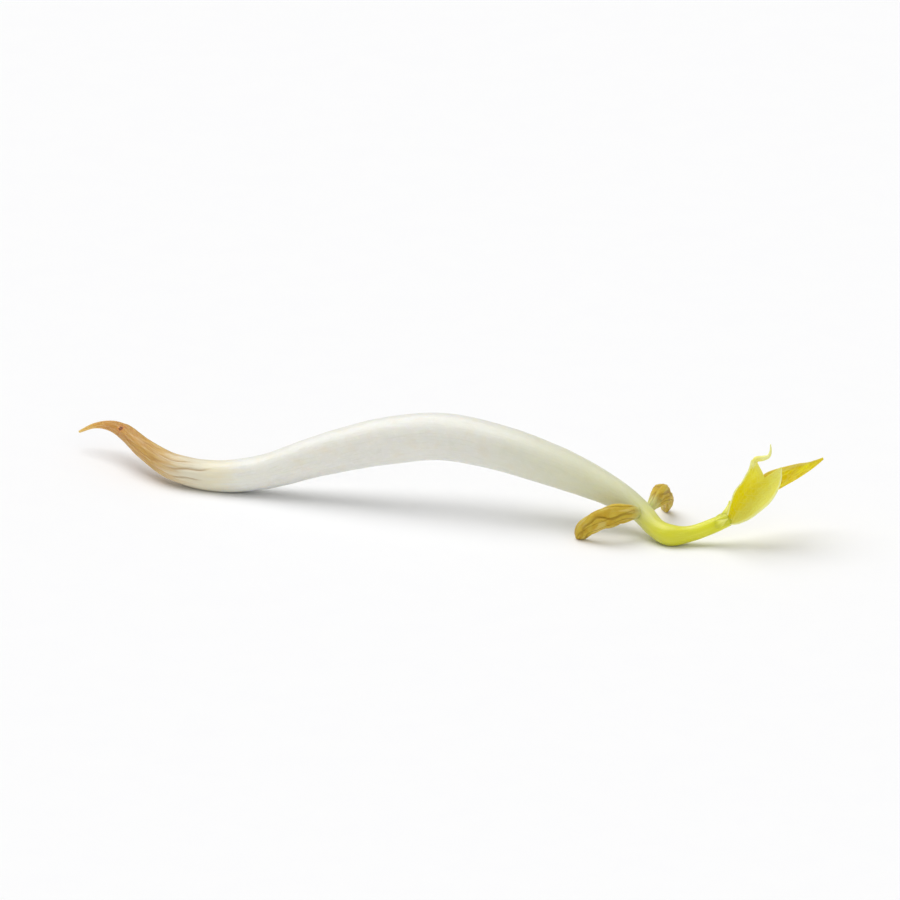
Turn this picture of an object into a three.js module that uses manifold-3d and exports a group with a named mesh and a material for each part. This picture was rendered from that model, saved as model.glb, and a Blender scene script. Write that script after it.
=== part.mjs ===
// A mung bean sprout (Vigna radiata), picked and laid on a table.
//
// It is a taproot, a thick white stem, a thin green neck that ends in a bud with its
// stipules, two wrinkled seed halves and two folded first leaves. It rests on the belly of
// its stem, on the kink of its neck and on the tips of the seed halves.
// Millimetres, +Z up. The origin is on the table, under the middle of the sprout's outline.
import * as THREE from "three";
import { mergeVertices } from "three/addons/utils/BufferGeometryUtils.js";
import Module from "manifold-3d";

const wasm = await Module();
wasm.setup();

// ---- driving dimensions -------------------------------------------------------------

const STEM_RADIUS = 2.4; // at the thickest, on top of the arch
const NECK_RADIUS = 1.12; // at the kink
const GAP = 0.1; // between pieces that grow against each other

const LEAF_THICKNESS = 0.6;
const LEAF_CUP = 0.12; // how far each half of a leaf bulges, as a share of its breadth
const MIDRIB_RADIUS = 0.36;

const SEED_RADIUS = 1.1; // half of a seed half's breadth
const SEED_BACK = 0.85; // depth of its round back, as a share of that
const SEED_FACE = 0.3; // depth of its flatter inner face
const SEED_WRINKLE = 0.07; // depth of its wrinkles, as a share of its breadth

// Where the sprout lies: this brings the middle of its outline over the origin.
const LAID_AT = [-0.8, -5.41, 0];

const RING_SPACING = 0.8; // along the root, stem and neck
const ROOT_SIDES = 14;
const STEM_SIDES = 22;
const NECK_SIDES = 16;
const SEED_SIDES = 16;
const LEAF_ROWS = 14;
const LEAF_COLUMNS = 4;

// ---- lines that the sprout grew along: x, y, z and radius ---------------------------

const ROOT_LINE = [
  [-37.9, 20.6, 2.0, 0.14],
  [-36.4, 20.1, 2.8, 0.28],
  [-34.8, 19.1, 3.2, 0.52],
  [-33.2, 17.3, 3.2, 0.82],
  [-30.8, 13.3, 2.6, 1.08],
  [-27.7, 10.0, 1.85, 1.4],
];
const STEM_LINE = [
  [-23.6, 8.4, 1.55, 1.66],
  [-18.6, 7.3, 2.35, 1.86],
  [-12.8, 6.3, 4.5, 2.14],
  [-6.4, 5.1, 6.5, STEM_RADIUS],
  [-0.3, 3.7, 7.6, STEM_RADIUS],
  [5.0, 1.9, 7.3, 2.32],
  [10.6, 0.0, 6.1, 2.2],
  [15.2, -1.7, 4.7, 1.86],
  [18.2, -3.2, 3.6, 1.48],
];
const NECK_LINE = [
  [20.4, -4.9, 2.5, 1.16],
  [22.1, -6.7, 1.5, 1.0],
  [23.4, -8.0, 1.06, NECK_RADIUS],
  [25.4, -8.0, 1.2, 0.84],
  [27.8, -7.8, 1.9, 0.78],
  [29.3, -7.9, 3.1, 0.74],
];
const BUD_LINE = [
  [29.2, -7.8, 2.9, 0.55],
  [29.5, -7.6, 3.5, 0.55],
  [29.6, -7.4, 4.1, 0.36],
  [29.5, -7.3, 4.6, 0.12],
];
const STIPULE_LINES = [
  [
    [28.7, -8.3, 2.6, 0.45],
    [29.0, -8.6, 3.3, 0.4],
    [29.0, -8.7, 4.0, 0.12],
  ],
  [
    [28.8, -7.3, 2.7, 0.45],
    [28.9, -7.0, 3.4, 0.4],
    [28.8, -6.9, 4.1, 0.12],
  ],
];

// Each half of a leaf lies between its fold and its margin, both from base to tip.
const FRONT_FOLD = [
  [29.7, -8.1, 3.1],
  [30.2, -7.8, 4.1],
  [31.1, -7.4, 5.3],
  [32.2, -7.4, 6.6],
  [33.0, -7.6, 7.4],
];
const FRONT_LEFT = {
  fold: [...FRONT_FOLD, [32.2, -8.2, 9.4]],
  margin: [
    [29.4, -8.4, 3.4],
    [29.7, -8.9, 4.6],
    [30.4, -9.1, 6.1],
    [31.4, -8.9, 7.6],
    [31.8, -8.5, 8.8],
    [32.0, -8.3, 9.6],
  ],
};
const FRONT_RIGHT = {
  fold: [...FRONT_FOLD, [34.9, -8.8, 8.7]],
  margin: [
    [29.9, -8.4, 2.8],
    [30.9, -9.2, 2.6],
    [32.6, -9.6, 3.7],
    [33.9, -9.7, 5.0],
    [34.9, -9.4, 7.0],
    [35.1, -8.9, 8.8],
  ],
};
const FRONT_TAIL = [
  [32.0, -8.3, 9.0, 0.36],
  [32.3, -8.1, 9.6, 0.33],
  [32.9, -7.9, 9.7, 0.31],
  [33.7, -7.8, 9.8, 0.28],
  [34.0, -7.6, 10.9, 0.15],
];
const FRONT_PETIOLE = [
  [29.5, -8.2, 2.7, 0.42],
  [30.2, -7.9, 4.0, MIDRIB_RADIUS],
];

const BACK_FOLD = [
  [32.6, -6.2, 4.3],
  [33.9, -6.0, 4.8],
  [35.3, -5.9, 5.6],
  [36.7, -5.7, 6.4],
  [38.3, -5.5, 7.4],
  [39.4, -5.4, 8.4],
];
const BACK_NEAR = {
  fold: BACK_FOLD,
  margin: [
    [32.3, -6.3, 4.7],
    [33.0, -6.6, 6.5],
    [34.7, -6.7, 7.6],
    [36.8, -6.3, 8.1],
    [38.4, -5.8, 8.4],
    [39.4, -5.4, 8.6],
  ],
};
const BACK_FAR = {
  fold: BACK_FOLD,
  margin: [
    [32.4, -6.0, 4.7],
    [33.2, -5.0, 6.0],
    [34.9, -4.5, 7.0],
    [36.9, -4.6, 7.6],
    [38.4, -5.0, 8.1],
    [39.4, -5.3, 8.6],
  ],
};
const BACK_PETIOLE = [
  [29.9, -7.3, 3.2, 0.45],
  [31.3, -6.6, 3.8, 0.42],
  [32.6, -6.2, 4.3, 0.4],
  [33.9, -6.0, 4.8, MIDRIB_RADIUS],
];

const NEAR_SEED_LINE = [
  [20.3, -5.6, 2.6, 0.5],
  [19.3, -6.6, 3.0, 0.8],
  [17.7, -7.1, 2.9, SEED_RADIUS],
  [16.0, -6.9, 2.2, SEED_RADIUS],
  [14.7, -6.5, 1.25, 0.95],
  [14.2, -6.3, 0.45, 0.7],
  [14.1, -6.2, 0, 0.3],
];
const FAR_SEED_LINE = [
  [21.2, -4.6, 2.6, 0.5],
  [21.8, -3.5, 3.1, 0.8],
  [22.4, -1.9, 3.2, SEED_RADIUS],
  [22.8, -0.2, 2.6, SEED_RADIUS],
  [23.0, 1.3, 1.35, 0.95],
  [22.9, 2.0, 0.45, 0.7],
  [22.8, 2.3, 0, 0.3],
];

const UPWARD = [0, 0, 1];
const FORWARD = [0, -1, 0];

// ---- solids -------------------------------------------------------------------------

const pointOf = ([x, y, z]) => new THREE.Vector3(x, y, z);
const curveOf = (rows) => new THREE.CatmullRomCurve3(rows.map(pointOf), false, "centripetal");

function solidOf(geometry) {
  const bare = geometry.index ? geometry.toNonIndexed() : geometry.clone();
  bare.deleteAttribute("normal");
  bare.deleteAttribute("uv");
  const merged = mergeVertices(bare, 1e-4);
  return new wasm.Manifold(
    new wasm.Mesh({
      numProp: 3,
      vertProperties: merged.attributes.position.array,
      triVerts: new Uint32Array(merged.index.array),
    }),
  );
}

function geometryOf(solid) {
  const mesh = solid.getMesh();
  const points = new Float32Array(mesh.numVert * 3);
  for (let i = 0; i < mesh.numVert; i++) {
    const at = i * mesh.numProp;
    points.set(mesh.vertProperties.subarray(at, at + 3), i * 3);
  }
  const geometry = new THREE.BufferGeometry()
    .setAttribute("position", new THREE.BufferAttribute(points, 3))
    .setIndex(new THREE.BufferAttribute(mesh.triVerts, 1));
  geometry.computeVertexNormals();
  return geometry;
}

// A closed skin over rings of points, each ring with the same count, capped at both ends.
function skinOver(rings) {
  const count = rings[0].length;
  const middleOf = (ring) =>
    ring.reduce((sum, p) => sum.add(p), new THREE.Vector3()).divideScalar(count);
  const vertices = [...rings.flat(), middleOf(rings[0]), middleOf(rings.at(-1))];
  const first = vertices.length - 2;
  const last = vertices.length - 1;
  const faces = [];
  for (let i = 0; i + 1 < rings.length; i++) {
    for (let j = 0; j < count; j++) {
      const a = i * count + j;
      const b = i * count + ((j + 1) % count);
      faces.push(a, b, b + count, a, b + count, a + count);
    }
  }
  const end = (rings.length - 1) * count;
  for (let j = 0; j < count; j++) {
    const next = (j + 1) % count;
    faces.push(first, next, j, last, end + j, end + next);
  }
  return new THREE.BufferGeometry()
    .setAttribute(
      "position",
      new THREE.Float32BufferAttribute(
        vertices.flatMap((v) => v.toArray()),
        3,
      ),
    )
    .setIndex(faces);
}

// Evenly spaced stations along a line. Each one's up is as near to facing as the line allows.
function stationsOf(rows, spacing, facing) {
  const path = curveOf(rows);
  const steps = Math.max(4, Math.round(path.getLength() / spacing));
  const girth = new THREE.SplineCurve(rows.map((row, i) => new THREE.Vector2(i, row[3])));
  return Array.from({ length: steps + 1 }, (_, i) => {
    const share = path.getUtoTmapping(i / steps);
    const tangent = path.getTangent(share);
    const up = pointOf(facing).projectOnPlane(tangent).normalize();
    return {
      at: path.getPoint(share),
      radius: girth.getPoint(share).y,
      row: share * (rows.length - 1),
      share: i / steps,
      tangent,
      up,
      side: new THREE.Vector3().crossVectors(up, tangent),
    };
  });
}

const round = (angle) => [Math.cos(angle), Math.sin(angle)];

// One ring round a station. outline(angle, station) gives how far it reaches sideways and
// up, as shares of the station's radius. grow widens the ring all round.
function ringAt(station, sides, outline, grow) {
  return Array.from({ length: sides }, (_, j) => {
    const angle = (2 * Math.PI * j) / sides;
    const [across, up] = outline(angle, station);
    return station.at
      .clone()
      .addScaledVector(station.side, across * station.radius + grow * Math.cos(angle))
      .addScaledVector(station.up, up * station.radius + grow * Math.sin(angle));
  });
}

// A closed tube through the stations. grow makes it larger all round and at its far end.
function tube(stations, sides, outline = round, grow = 0) {
  const rings = stations.map((s) => ringAt(s, sides, outline, grow));
  const last = stations.at(-1).tangent;
  return solidOf(skinOver([...rings, rings.at(-1).map((p) => p.clone().addScaledVector(last, grow))]));
}

const TABLE = solidOf(new THREE.BoxGeometry(200, 200, 20).translate(0, 0, -10));
const pressedFlat = (solid) => solid.subtract(TABLE);
const largestOf = (solid) => solid.decompose().sort((a, b) => b.volume() - a.volume())[0];

// ---- root, stem and neck: three stretches of one axis ------------------------------

const AXIS = stationsOf([...ROOT_LINE, ...STEM_LINE, ...NECK_LINE], RING_SPACING, UPWARD);
const COLLAR = AXIS.findIndex((s) => s.row >= ROOT_LINE.length - 0.5);
const NODE = AXIS.findIndex((s) => s.row >= ROOT_LINE.length + STEM_LINE.length - 0.4);

// Shrunken grooves run along the root and fade towards the stem.
function grooved(angle, station) {
  const depth = 0.07 * (1 - station.row / ROOT_LINE.length);
  return round(angle).map((v) => v * (1 + depth * Math.cos(5 * angle)));
}

function swollen(angle, station) {
  const bulge = 1 + 0.025 * Math.cos(2 * angle + station.row) + 0.012 * Math.cos(3 * angle);
  return round(angle).map((v) => v * bulge);
}

const flattened = (angle) => [Math.cos(angle), 0.6 * Math.sin(angle)];

const taproot = () => tube(AXIS.slice(0, COLLAR + 1), ROOT_SIDES, grooved);

const hypocotyl = (grow) => tube(AXIS.slice(COLLAR, NODE + 1), STEM_SIDES, swollen, grow);

function epicotyl(grow) {
  let solid = tube(AXIS.slice(NODE), NECK_SIDES, round, grow);
  solid = solid.add(tube(stationsOf(BUD_LINE, 0.4, FORWARD), 10, round, grow));
  for (const line of STIPULE_LINES) {
    const outward = [-0.3, line[1][1] - line[0][1], 0];
    solid = solid.add(tube(stationsOf(line, 0.4, outward), 10, flattened, grow));
  }
  return solid;
}

// ---- leaves -------------------------------------------------------------------------

// One half of a folded leaf: a blade of even thickness that bulges away from the other half.
function halfBlade({ fold, margin }, other) {
  const inner = curveOf(fold);
  const outer = curveOf(margin);
  const opposite = curveOf(other.margin);
  const columns = Array.from({ length: LEAF_COLUMNS + 1 }, (_, j) => j);
  const rings = [];
  for (let i = 0; i <= LEAF_ROWS; i++) {
    const share = i / LEAF_ROWS;
    const from = inner.getPoint(share);
    const across = outer.getPoint(share).sub(from);
    const along = inner.getTangent(share).add(outer.getTangent(share));
    const normal = new THREE.Vector3().crossVectors(along, across).normalize();
    const inward = Math.sign(normal.dot(opposite.getPoint(share).sub(from)));
    const arch = -inward * LEAF_CUP * across.length();
    const pointAt = (j, side) => {
      const lift = arch * Math.sin((Math.PI * j) / LEAF_COLUMNS) + (side * LEAF_THICKNESS) / 2;
      return from.clone().addScaledVector(across, j / LEAF_COLUMNS).addScaledVector(normal, lift);
    };
    const underside = columns.map((j) => pointAt(j, -1));
    const upperside = columns.map((j) => pointAt(j, 1)).reverse();
    rings.push([...underside, ...upperside]);
  }
  return solidOf(skinOver(rings));
}

function leaf([left, right], ribs) {
  let solid = halfBlade(left, right).add(halfBlade(right, left));
  for (const rib of ribs) {
    solid = solid.add(tube(stationsOf(rib, 0.5, FORWARD), 10));
  }
  return solid;
}

const ribOf = (fold) => fold.map((row, i) => [...row, MIDRIB_RADIUS * (1 - (0.4 * i) / fold.length)]);

// ---- seed halves --------------------------------------------------------------------

// A wrinkled half bean: round on its back, flatter on its inner face.
function beanHalf(angle, station) {
  const ripple = Math.cos(4 * angle + 5 * station.share) + 0.5 * Math.cos(26 * station.share + angle);
  const wrinkle = 1 + SEED_WRINKLE * ripple * Math.sin(Math.PI * station.share);
  const depth = Math.sin(angle) > 0 ? SEED_BACK : SEED_FACE;
  return [Math.cos(angle) * wrinkle, Math.sin(angle) * depth * wrinkle];
}

const seedHalf = (line, facing) => tube(stationsOf(line, 0.5, facing), SEED_SIDES, beanHalf);

// ---- the sprout ---------------------------------------------------------------------

const STALK_WITH_GAP = hypocotyl(GAP).add(epicotyl(GAP));
const clearOfStalk = (solid) => largestOf(solid.subtract(STALK_WITH_GAP));

const front = leaf([FRONT_LEFT, FRONT_RIGHT], [ribOf(FRONT_FOLD), FRONT_TAIL, FRONT_PETIOLE]);
const back = leaf([BACK_NEAR, BACK_FAR], [ribOf(BACK_FOLD), BACK_PETIOLE]);
const near = seedHalf(NEAR_SEED_LINE, [0, -1, 0.4]);
const far = seedHalf(FAR_SEED_LINE, [1, 0, 0.5]);

const SEED_FINISH = { color: 0xc9a63c, roughness: 0.55 };
const PIECES = {
  taproot: { solid: taproot(), color: 0xcfa05e, roughness: 0.6 },
  hypocotyl: { solid: hypocotyl(0), color: 0xf4f2ea, roughness: 0.35 },
  epicotyl: { solid: epicotyl(0), color: 0xd4dc7c, roughness: 0.4 },
  leaf_front: { solid: clearOfStalk(front), color: 0xdcd23c, roughness: 0.5 },
  leaf_back: { solid: clearOfStalk(back), color: 0xd8bc1e, roughness: 0.5 },
  cotyledon_near: { solid: clearOfStalk(near), ...SEED_FINISH },
  cotyledon_far: { solid: clearOfStalk(far), ...SEED_FINISH },
};

const sprout = new THREE.Group();
for (const [name, { solid, color, roughness }] of Object.entries(PIECES)) {
  const material = new THREE.MeshStandardMaterial({ color, roughness, metalness: 0 });
  const mesh = new THREE.Mesh(geometryOf(pressedFlat(solid)), material);
  mesh.name = name;
  sprout.add(mesh);
}
sprout.position.set(...LAID_AT);

export default sprout;
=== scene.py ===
import copy
import math

import bpy
import numpy as np
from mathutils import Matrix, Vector, noise
from mathutils.kdtree import KDTree


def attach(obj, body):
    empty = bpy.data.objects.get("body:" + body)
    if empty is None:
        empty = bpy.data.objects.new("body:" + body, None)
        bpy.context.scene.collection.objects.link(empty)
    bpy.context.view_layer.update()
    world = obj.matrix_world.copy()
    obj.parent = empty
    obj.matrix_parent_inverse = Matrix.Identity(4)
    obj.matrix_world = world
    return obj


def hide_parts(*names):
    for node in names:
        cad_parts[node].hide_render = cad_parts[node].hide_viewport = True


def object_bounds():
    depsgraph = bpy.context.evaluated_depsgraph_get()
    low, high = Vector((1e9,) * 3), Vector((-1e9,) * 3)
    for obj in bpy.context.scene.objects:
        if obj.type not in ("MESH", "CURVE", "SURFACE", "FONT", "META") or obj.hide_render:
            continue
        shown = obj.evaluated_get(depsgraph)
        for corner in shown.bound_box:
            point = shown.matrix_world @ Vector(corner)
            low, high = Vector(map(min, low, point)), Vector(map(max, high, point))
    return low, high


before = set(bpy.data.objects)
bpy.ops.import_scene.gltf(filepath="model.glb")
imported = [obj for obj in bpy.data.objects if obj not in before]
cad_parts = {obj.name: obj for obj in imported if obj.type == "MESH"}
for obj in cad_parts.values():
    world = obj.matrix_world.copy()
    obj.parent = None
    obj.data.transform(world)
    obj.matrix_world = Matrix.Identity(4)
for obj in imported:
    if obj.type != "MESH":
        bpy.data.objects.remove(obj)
CAD_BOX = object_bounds()

bl_info = {
    "name": "Mung bean sprout",
    "version": (1, 0, 0),
    "blender": (4, 5, 0),
    "location": "3D View > Sidebar > Sprout",
    "description": "Grows a mung bean sprout over its frame and lays it on a pale table",
    "category": "Object",
}

MM = 0.001  # shapes are worked out in millimetres and made in metres

# ---- lines that the sprout grew along: x, y, z and radius, in millimetres -------------

LAID_AT = np.array([-0.8, -5.41, 0.0])  # brings the middle of the outline over the origin

ROOT_LINE = [
    [-37.9, 20.6, 2.0, 0.14],
    [-36.4, 20.1, 2.8, 0.28],
    [-34.8, 19.1, 3.2, 0.52],
    [-33.2, 17.3, 3.2, 0.82],
    [-30.8, 13.3, 2.6, 1.08],
    [-27.7, 10.0, 1.85, 1.4],
]
STEM_LINE = [
    [-23.6, 8.4, 1.55, 1.66],
    [-18.6, 7.3, 2.35, 1.86],
    [-12.8, 6.3, 4.5, 2.14],
    [-6.4, 5.1, 6.5, 2.4],
    [-0.3, 3.7, 7.6, 2.4],
    [5.0, 1.9, 7.3, 2.32],
    [10.6, 0.0, 6.1, 2.2],
    [15.2, -1.7, 4.7, 1.86],
    [18.2, -3.2, 3.6, 1.48],
]
NECK_LINE = [
    [20.4, -4.9, 2.5, 1.16],
    [22.0, -6.8, 1.35, 1.04],
    [23.4, -8.0, 1.06, 1.12],
    [25.4, -8.0, 1.2, 0.84],
    [27.8, -7.8, 2.0, 0.78],
    [29.2, -7.9, 2.7, 0.74],
]
BUD_LINE = [
    [28.9, -7.7, 2.6, 0.5],
    [29.3, -7.5, 3.2, 0.5],
    [29.5, -7.3, 3.8, 0.34],
    [29.5, -7.2, 4.3, 0.12],
]
STIPULE_LINES = {
    "stipule_near": [
        [27.9, -8.35, 2.25, 0.26],
        [28.5, -8.6, 2.55, 0.38],
        [29.1, -8.65, 2.95, 0.1],
    ],
    "stipule_far": [
        [28.0, -7.3, 2.5, 0.26],
        [28.6, -7.1, 2.8, 0.38],
        [29.1, -6.95, 3.3, 0.1],
    ],
}

# Each half of a leaf lies between its fold and its margin, both from base to tip.
FRONT_FOLD = [
    [29.6, -8.1, 2.9],
    [30.1, -7.8, 4.0],
    [31.0, -7.4, 5.3],
    [32.0, -7.4, 6.4],
    [32.95, -7.6, 7.1],
]
FRONT_LEFT = (
    [*FRONT_FOLD, [32.2, -8.2, 9.3]],
    [
        [29.25, -8.4, 3.4],
        [29.55, -8.9, 4.9],
        [30.15, -9.1, 6.5],
        [31.0, -8.9, 7.7],
        [31.45, -8.5, 8.65],
        [31.65, -8.3, 9.4],
    ],
)
FRONT_RIGHT = (
    [*FRONT_FOLD, [34.7, -8.8, 8.8]],
    [
        [29.45, -8.4, 2.3],
        [30.45, -9.0, 2.65],
        [32.1, -9.6, 3.8],
        [33.55, -9.7, 5.2],
        [34.65, -9.4, 7.1],
        [34.8, -8.9, 8.8],
    ],
)
FRONT_TAIL = [
    [31.85, -8.4, 8.4, 0.1],
    [31.95, -8.3, 9.0, 0.24],
    [32.15, -8.1, 9.35, 0.3],
    [32.8, -7.9, 9.4, 0.29],
    [33.45, -7.8, 9.6, 0.2],
    [33.65, -7.7, 10.1, 0.13],
    [33.65, -7.6, 10.8, 0.07],
]
FRONT_PETIOLE = [
    [28.9, -7.95, 2.4, 0.5],
    [29.4, -8.1, 2.8, 0.44],
    [30.0, -7.8, 3.9, 0.25],
]
BACK_FOLD = [
    [32.3, -6.2, 4.35],
    [33.6, -6.0, 4.9],
    [35.0, -5.9, 5.7],
    [36.4, -5.7, 6.45],
    [38.0, -5.5, 7.5],
    [39.1, -5.4, 8.4],
]
BACK_NEAR = (
    BACK_FOLD,
    [
        [32.0, -6.3, 4.75],
        [32.7, -6.6, 6.5],
        [34.4, -6.7, 7.6],
        [36.5, -6.3, 8.15],
        [38.1, -5.8, 8.4],
        [39.1, -5.4, 8.6],
    ],
)
BACK_FAR = (
    BACK_FOLD,
    [
        [32.1, -6.0, 4.75],
        [32.8, -5.0, 6.4],
        [34.5, -4.5, 7.1],
        [36.6, -4.6, 7.65],
        [38.1, -5.0, 8.1],
        [39.1, -5.3, 8.6],
    ],
)
BACK_PETIOLE = [
    [29.1, -7.5, 2.5, 0.45],
    [29.7, -7.3, 2.9, 0.44],
    [31.0, -6.6, 3.7, 0.4],
    [32.3, -6.2, 4.35, 0.34],
    [33.6, -6.0, 4.9, 0.22],
]

NEAR_SEED_LINE = [
    [20.3, -5.6, 2.6, 0.5],
    [19.3, -6.6, 3.0, 0.8],
    [17.7, -7.1, 2.9, 1.1],
    [16.0, -6.9, 2.2, 1.1],
    [14.7, -6.5, 1.25, 0.95],
    [14.2, -6.3, 0.45, 0.7],
    [14.1, -6.2, 0.2, 0.45],
]
FAR_SEED_LINE = [
    [21.2, -4.6, 2.6, 0.5],
    [21.8, -3.5, 3.1, 0.8],
    [22.4, -1.9, 3.2, 1.1],
    [22.8, -0.2, 2.6, 1.1],
    [23.0, 1.3, 1.35, 0.95],
    [22.9, 2.0, 0.45, 0.7],
    [22.8, 2.3, 0.2, 0.45],
]

UPWARD = (0, 0, 1)
FORWARD = (0, -1, 0)

# Rows of the root, stem and neck counted together: where one skin gives way to the next.
COLLAR_ROW = len(ROOT_LINE) - 0.5
NODE_ROW = len(ROOT_LINE) + len(STEM_LINE) - 0.4

# How finely the skins are made: the spacing of their rings in millimetres, the points in each.
STALK_SPACING, STALK_SIDES = 0.12, 128
SEED_SPACING, SEED_SIDES = 0.07, 120
TWIG_SPACING, TWIG_SIDES = 0.05, 24
SHOOT_SIDES = 60
LINE_SAMPLES = 4001  # points that measure how long a line is
CAP_RINGS, CAP_ANGLE = 8, math.radians(86)  # of a round end
BLADE_ROWS, BLADE_COLUMNS = 130, 46
LEAF_GRAIN = 0.045  # spacing of the points of a finished leaf

# Soft noise over a skin: how often it changes round it and along it, and its seed.
FURROWS, FINE_FURROWS = (2.4, 0.16, 3.1), (4.2, 0.22, 17.4)
DENTS, FINE_DENTS = (0.9, 0.22, 40.2), (2.2, 0.6, 71.8)
BUD_HAIRS = (3, 2.5, 5)
SEED_CREASES, SEED_PLEATS, SEED_NUBS = (1.5, 0.3), (2.4, 0.7), (4.5, 1.9)
SEED_GROOVE = 0.17  # half the width of the groove in a seed half's flat side

ROOT_GROOVES, GROOVE_DEPTH = 5, 0.07  # the depth is a share of the root's radius
SCAR_ROW, SCAR_ANGLE = 3.05, math.radians(135)
SCAR_WIDTH, SCAR_LENGTH, SCAR_DEPTH = 0.42, 0.5, 0.1
# Splits in the skin of the collar: first row, last row, degrees round at both, half width.
SPLITS = [
    (4.75, 6.15, 161, 137, 0.1),
    (4.5, 5.6, 128, 118, 0.06),
    (4.9, 5.9, 196, 178, 0.06),
    (4.4, 5.7, 20, 34, 0.08),
    (4.7, 6.0, 285, 262, 0.08),
]

LEAF_CUP = 0.12  # how far each half of a leaf bulges, as a share of its breadth
RIPPLE_LENGTH, RIPPLE_HEIGHT = 2.3, 0.05  # of a leaf's margin
RIB_RADIUS, RIB_TAPER = 0.17, 0.02
VEIN_SPACING, VEIN_WIDTH, MIDRIB_WIDTH = 0.95, 0.07, 0.12
VEIN_SLANT, VEIN_BEND = 0.75, 0.1  # of the side veins, away from square to the fold
NET_CELL, NET_WIDTH = 0.5, 0.16  # the net of small veins between the side veins
STIPULE_VEINS = 12

# Rows between which one tint of the stalk gives way to the next.
TAIL_TO_ROOT, ROOT_TO_COLLAR, COLLAR_TO_STEM = (2.0, 5.0), (4.3, 5.8), (5.8, 6.8)
# The first pair of rows is where painted shade comes over the stem before the node.
WHITE_TO_PAINTED_SHADE, WHITE_TO_GREEN, STEM_TO_NECK = (9.5, 12), (10.5, 15), (13.5, 16.5)
NODE_TO_KINK, KINK_TO_END, WET_TO_DRY = (14, 17.4), (17.4, 20), (6.8, 4.3)
SEAM_FAR, SEAM_NEAR = 2.4, 0.2  # from a seam: where light goes through the flesh, where none does

# Patterns in the materials: how often they change in a millimetre, in each direction.
STREAKS, FIBRES, DIMPLES = (2.4, 2.4, 0.16), (7.0, 7.0, 0.35), (2.8, 2.8, 1.8)
SHOOT_FIBRES, SEED_WRINKLES = (9.0, 9.0, 1.2), (9.0, 9.0, 3.0)
BLADE_STREAKS = (0.45, 3.2, 0.0)

# The stage, in metres. The two softboxes are directions, because they are far off.
TABLE_REACH, CLIP_START = 3.0, 0.01
TABLE_GRAIN = 220.0  # times in a metre
TOP_SOFTBOX, FRONT_SOFTBOX = (-0.35, 0.3, 1), (0.5, -1, 0.7)
SOFTBOX_SPREAD = math.radians(60)


# ---- what a user would change ----------------------------------------------------------


def srgb(red, green, blue):
    """A display colour, 0 to 255, as the linear colour that shaders use."""
    shares = (red / 255, green / 255, blue / 255)
    return tuple(c / 12.92 if c <= 0.04045 else ((c + 0.055) / 1.055) ** 2.4 for c in shares)


def colour(name, description, *display):
    return bpy.props.FloatVectorProperty(
        name=name,
        description=description,
        subtype="COLOR",
        size=3,
        min=0,
        max=1,
        default=srgb(*display),
    )


def size(name, description, millimetres):
    return bpy.props.FloatProperty(
        name=name,
        description=description,
        unit="LENGTH",
        min=0,
        precision=5,
        default=millimetres * MM,
    )


class SproutSizes(bpy.types.PropertyGroup):
    furrow_depth: size("Root furrows", "Depth of the furrows along the root", 0.07)
    dent_depth: size("Stem dents", "Height of the soft unevenness of the stem", 0.05)
    split_depth: size("Collar splits", "Depth of the splits where the root joins the stem", 0.12)
    blade_thickness: size("Leaf thickness", "Thickness of a leaf along its fold", 0.34)
    margin_thickness: size("Leaf margin", "Thickness of a leaf at its margin", 0.17)
    vein_height: size("Leaf veins", "Relief of the veins on a leaf", 0.035)
    wrinkle_depth: size("Seed wrinkles", "Depth of the wrinkles of a seed half", 0.13)


class SproutColours(bpy.types.PropertyGroup):
    root_tip: colour("Root tip", "Thin end of the root", 184, 136, 60)
    root_tan: colour("Root", "Skin of the root", 197, 158, 77)
    # Also painted shade in the root's furrows and in the splits of its collar.
    root_streak_and_shade: colour("Root streaks", "Dark streaks and furrows of the root", 174, 126, 52)
    root_pale: colour("Root ridges", "Thin pale skin on the ridges of the root", 240, 226, 186)
    scar: colour("Scar", "Dark spot on the root", 128, 72, 26)
    scar_halo: colour("Scar edge", "Orange edge of the dark spot", 206, 134, 58)
    collar_cream: colour("Collar", "Where the root turns into the stem", 232, 225, 200)
    stem_white: colour("Stem", "Skin of the stem", 233, 233, 227)
    # Also the painted shade on the stem's last stretch before the node.
    stem_fibres_and_painted_shade: colour("Stem fibres", "Faint fibres and cells in the stem", 214, 214, 200)
    # Painted glints: white flecks that stand in for highlights on the stem's dimpled skin.
    stem_painted_glint: colour("Stem flecks", "Bright flecks in the skin of the stem", 250, 250, 250)
    stem_warm: colour("Stem clouds", "Faint warm clouds in the stem", 230, 220, 198)
    node_green: colour("Node", "Where the stem turns into the neck", 214, 216, 146)
    neck_green: colour("Neck", "Kink of the neck", 212, 212, 48)
    neck_gold: colour("Neck end", "End of the neck, towards the leaves", 214, 216, 40)
    neck_fibre: colour("Neck fibres", "Pale fibres of the neck", 228, 228, 92)
    leaf_gold: colour("Leaf", "Young leaf along its fold", 242, 230, 0)
    leaf_lime: colour("Leaf half", "Outer half of the front leaf", 246, 246, 128)
    leaf_deep: colour("Leaf meshes", "Deep colour between a leaf's veins", 222, 196, 0)
    leaf_rim: colour("Leaf rim", "Veins, margin and tail of a leaf", 246, 246, 170)
    leaf_rust: colour("Leaf rust", "Tired edge of the back leaf", 198, 160, 40)
    seed_olive: colour("Seed half", "Skin of a seed half", 208, 182, 64)
    seed_cloud: colour("Seed clouds", "Darker clouds in a seed half", 196, 158, 36)
    # Painted shade in the creases and the groove; darker grain too.
    seed_grain_and_crease_shade: colour("Seed creases", "Creases of a seed half", 162, 126, 22)
    # Painted highlight on the raised pleats of a seed half.
    seed_ridge_highlight: colour("Seed ridges", "Dry ridges of a seed half", 222, 204, 118)
    seed_speck: colour("Seed specks", "Brown specks on a seed half", 96, 66, 28)
    table_white: colour("Table", "Table top", 249, 249, 249)
    table_grain: colour("Table grain", "Faint grain of the table top", 247, 247, 248)


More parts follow.
